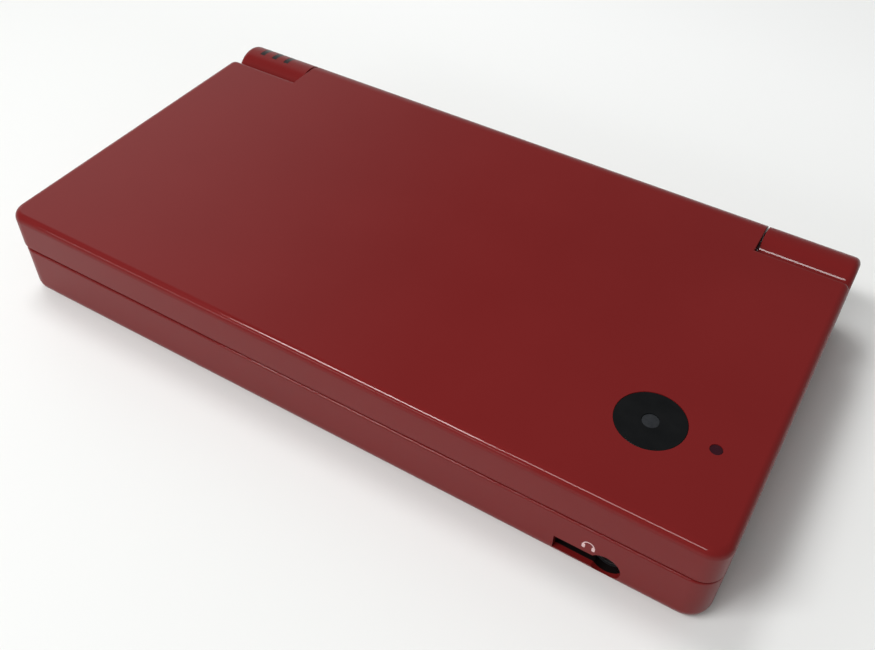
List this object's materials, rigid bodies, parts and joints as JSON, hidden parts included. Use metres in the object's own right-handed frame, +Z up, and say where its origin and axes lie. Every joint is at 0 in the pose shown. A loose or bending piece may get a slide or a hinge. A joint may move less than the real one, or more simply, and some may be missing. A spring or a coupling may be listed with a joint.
{
  "type": "clamshell handheld game console",
  "caption": "Clamshell handheld game console, closed: glossy two-part shell on a rear hinge, with a screen in each half, controls, ports and a camera.",
  "frame": {"origin": "middle of the underside of the closed console", "axes": "+X to the right when the front edge faces the user, +Y back towards the hinge, +Z up"},
  "size_m": [0.137, 0.075, 0.0189],
  "materials": {
    "red_gloss": "deep red moulded shell under a clear gloss coat",
    "red_satin": "deep red satin moulding inside the clamshell",
    "screen_glass": "dark clear screen window",
    "display_black": "unlit display",
    "circuit_board": "green solder mask",
    "battery_grey": "plain battery wrapper",
    "screw_steel": "zinc-plated screw",
    "copper_contact": "copper contact",
    "sheet_steel": "bright stamped sheet",
    "black_plastic": "black moulding",
    "pad_rubber": "dark grey silicone rubber",
    "hinge_steel": "turned steel",
    "smoked_lens": "smoked translucent light window",
    "control_plastic": "black button moulding",
    "stylus_plastic": "deep red stylus moulding",
    "camera_black": "black gloss camera window",
    "lens_glass": "grey coated camera lens",
    "speaker_grey": "speaker frame and cone"
  },
  "bodies": {
    "base": {"lower_case": "red_gloss", "control_deck": "red_satin", "touch_panel": "screen_glass", "lower_display": "display_black", "main_board": "circuit_board", "battery": "battery_grey", "battery_cover": "red_gloss", "battery_cover_screws": "screw_steel", "battery_contacts": "copper_contact", "case_screws": "screw_steel", "game_card_socket": "sheet_steel", "memory_card_socket": "sheet_steel", "charge_socket": "sheet_steel", "headphone_jack": "black_plastic", "wireless_board": "circuit_board", "face_button_pad": "pad_rubber", "dpad_pad": "pad_rubber", "small_button_pads": "pad_rubber", "volume_switch": "black_plastic", "shoulder_switches": "black_plastic", "hinge_unit": "hinge_steel", "hinge_bush": "hinge_steel", "indicator_lenses": "smoked_lens", "indicator_board": "circuit_board", "strap_bar": "hinge_steel", "microphone": "sheet_steel"},
    "lid": {"lid_cover": "red_gloss", "lid_bezel": "red_satin", "upper_glass": "screen_glass", "upper_display": "display_black", "camera_window": "camera_black", "camera_lens": "lens_glass", "camera_module": "black_plastic", "camera_light": "smoked_lens", "inner_camera_lens": "lens_glass", "inner_camera_module": "black_plastic", "speaker_left": "speaker_grey", "speaker_right": "speaker_grey", "lid_bumpers": "pad_rubber", "lid_screws": "screw_steel", "lid_magnet": "hinge_steel", "barrel_bushes": "black_plastic", "screen_ribbon": "copper_contact"},
    "dpad_rocker": {"dpad_ball": "hinge_steel"},
    "dpad": {"dpad": "control_plastic"},
    "face_button_right": {"face_button_right": "control_plastic"},
    "face_button_front": {"face_button_front": "control_plastic"},
    "face_button_back": {"face_button_back": "control_plastic"},
    "face_button_left": {"face_button_left": "control_plastic"},
    "start_button": {"start_button": "control_plastic"},
    "select_button": {"select_button": "control_plastic"},
    "power_button": {"power_button": "control_plastic"},
    "volume_rocker": {"volume_rocker": "red_gloss"},
    "shoulder_button_left": {"shoulder_button_left": "red_gloss"},
    "shoulder_button_right": {"shoulder_button_right": "red_gloss"},
    "stylus": {"stylus": "stylus_plastic"},
    "memory_card_door": {"memory_card_door": "red_gloss"},
    "card_ejector": {"card_ejector": "black_plastic"}
  },
  "joints": [
    {"name": "lid_hinge", "type": "hinge", "parent": "base", "child": "lid", "pos_m": [0, 0.03235, 0.0138], "axis": [-1, 0, 0], "range_deg": [0, 155]},
    {"name": "dpad_tilt_front_back", "type": "hinge", "parent": "base", "child": "dpad_rocker", "pos_m": [-0.051, 0.003, 0.0075], "axis": [1, 0, 0], "range_deg": [-2.2, 2.2], "stiffness_Nm_per_rad": 0.15},
    {"name": "dpad_tilt_left_right", "type": "hinge", "parent": "dpad_rocker", "child": "dpad", "pos_m": [-0.051, 0.003, 0.0075], "axis": [0, 1, 0], "range_deg": [-2.2, 2.2], "stiffness_Nm_per_rad": 0.15},
    {"name": "face_button_right_press", "type": "slide", "parent": "base", "child": "face_button_right", "axis": [0, 0, -1], "range_m": [0, 0.0007], "stiffness_N_per_m": 300},
    {"name": "face_button_front_press", "type": "slide", "parent": "base", "child": "face_button_front", "axis": [0, 0, -1], "range_m": [0, 0.0007], "stiffness_N_per_m": 300},
    {"name": "face_button_back_press", "type": "slide", "parent": "base", "child": "face_button_back", "axis": [0, 0, -1], "range_m": [0, 0.0007], "stiffness_N_per_m": 300},
    {"name": "face_button_left_press", "type": "slide", "parent": "base", "child": "face_button_left", "axis": [0, 0, -1], "range_m": [0, 0.0007], "stiffness_N_per_m": 300},
    {"name": "start_button_press", "type": "slide", "parent": "base", "child": "start_button", "axis": [0, 0, -1], "range_m": [0, 0.0007], "stiffness_N_per_m": 300},
    {"name": "select_button_press", "type": "slide", "parent": "base", "child": "select_button", "axis": [0, 0, -1], "range_m": [0, 0.0007], "stiffness_N_per_m": 300},
    {"name": "power_button_press", "type": "slide", "parent": "base", "child": "power_button", "axis": [0, 0, -1], "range_m": [0, 0.0007], "stiffness_N_per_m": 300},
    {"name": "volume_rocker_tilt", "type": "hinge", "parent": "base", "child": "volume_rocker", "pos_m": [-0.0675, 0.00255, 0.0051], "axis": [0, 0, 1], "range_deg": [-3, 3], "stiffness_Nm_per_rad": 0.1},
    {"name": "shoulder_button_left_press", "type": "hinge", "parent": "base", "child": "shoulder_button_left", "pos_m": [-0.0547, 0.03445, 0.0056], "axis": [0, 0, 1], "range_deg": [0, 4], "stiffness_Nm_per_rad": 0.3},
    {"name": "shoulder_button_right_press", "type": "hinge", "parent": "base", "child": "shoulder_button_right", "pos_m": [0.0547, 0.03445, 0.0056], "axis": [0, 0, -1], "range_deg": [0, 4], "stiffness_Nm_per_rad": 0.3},
    {"name": "stylus_pull", "type": "slide", "parent": "base", "child": "stylus", "axis": [1, 0, 0], "range_m": [0, 0.09]},
    {"name": "memory_card_door_hinge", "type": "hinge", "parent": "base", "child": "memory_card_door", "pos_m": [0.0677, 0.01455, 0.0028], "axis": [0, 1, 0], "range_deg": [0, 85]},
    {"name": "card_ejector_push", "type": "slide", "parent": "base", "child": "card_ejector", "axis": [0, -1, 0], "range_m": [0, 0.002], "stiffness_N_per_m": 200}
  ]
}
